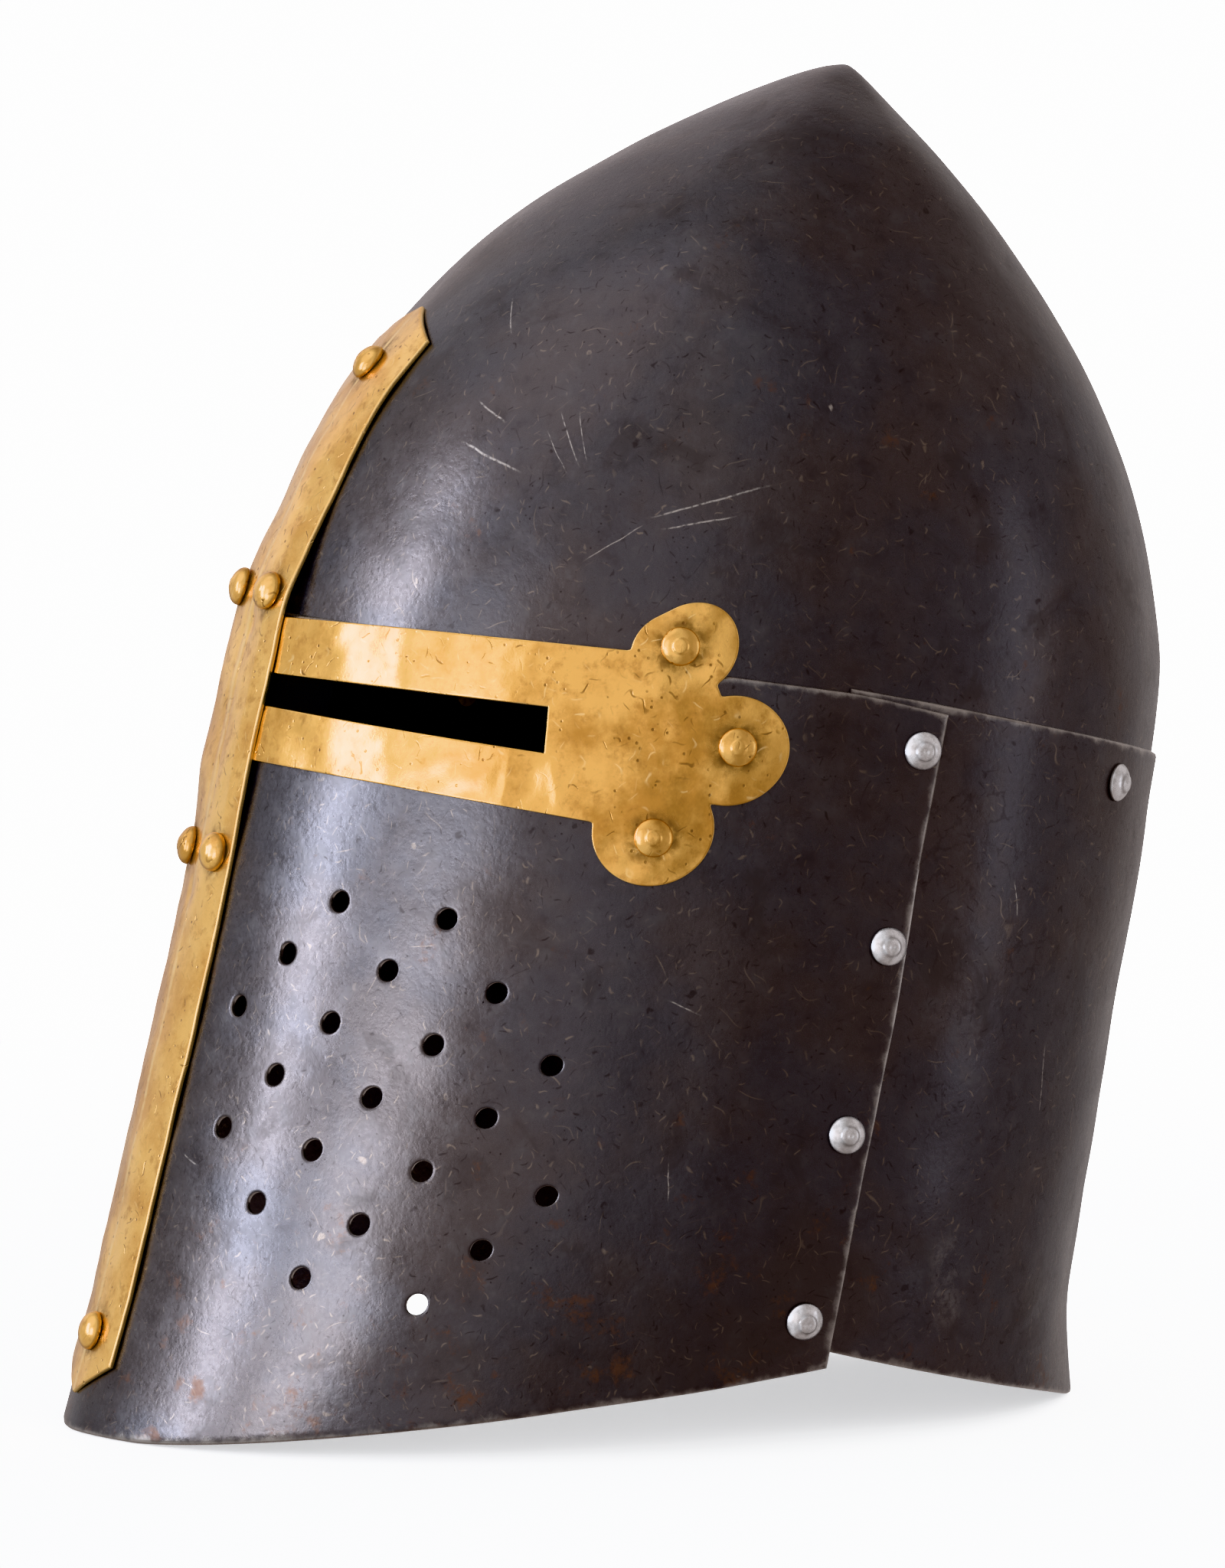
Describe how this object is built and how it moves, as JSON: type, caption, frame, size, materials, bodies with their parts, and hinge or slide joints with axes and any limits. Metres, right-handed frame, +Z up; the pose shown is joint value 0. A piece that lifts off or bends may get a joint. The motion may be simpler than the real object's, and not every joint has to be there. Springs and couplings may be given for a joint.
{
  "type": "great helm",
  "caption": "Pointed great helm of riveted blackened steel sheets with eye slits, breath holes and a brass cross, worn over the whole head.",
  "frame": {"origin": "middle of the bounding box's bottom face, on the surface the helm stands on", "axes": "+Z up, -Y the way the face looks, +X the wearer's left"},
  "size_m": [0.2338, 0.3033, 0.36],
  "materials": {
    "black_steel": "blackened, satin, with brown patina",
    "brass_sheet": "aged, hand polished",
    "brass_rivet": "aged, domed",
    "steel_rivet": "bright, worn"
  },
  "bodies": {
    "root": {"skull": "black_steel", "back_plate": "black_steel", "front_plate": "black_steel", "ridge_bar": "brass_sheet", "arm_left": "brass_sheet", "arm_right": "brass_sheet", "ridge_rivet_top": "brass_rivet", "ridge_rivet_upper_left": "brass_rivet", "ridge_rivet_upper_right": "brass_rivet", "ridge_rivet_lower_left": "brass_rivet", "ridge_rivet_lower_right": "brass_rivet", "ridge_rivet_bottom": "brass_rivet", "lobe_rivet_upper_left": "brass_rivet", "lobe_rivet_middle_left": "brass_rivet", "lobe_rivet_lower_left": "brass_rivet", "lobe_rivet_upper_right": "brass_rivet", "lobe_rivet_middle_right": "brass_rivet", "lobe_rivet_lower_right": "brass_rivet", "side_rivet_1_left": "steel_rivet", "side_rivet_2_left": "steel_rivet", "side_rivet_3_left": "steel_rivet", "side_rivet_4_left": "steel_rivet", "side_rivet_1_right": "steel_rivet", "side_rivet_2_right": "steel_rivet", "side_rivet_3_right": "steel_rivet", "side_rivet_4_right": "steel_rivet", "back_rivet_left": "steel_rivet", "back_rivet_right": "steel_rivet"}
  },
  "joints": []
}
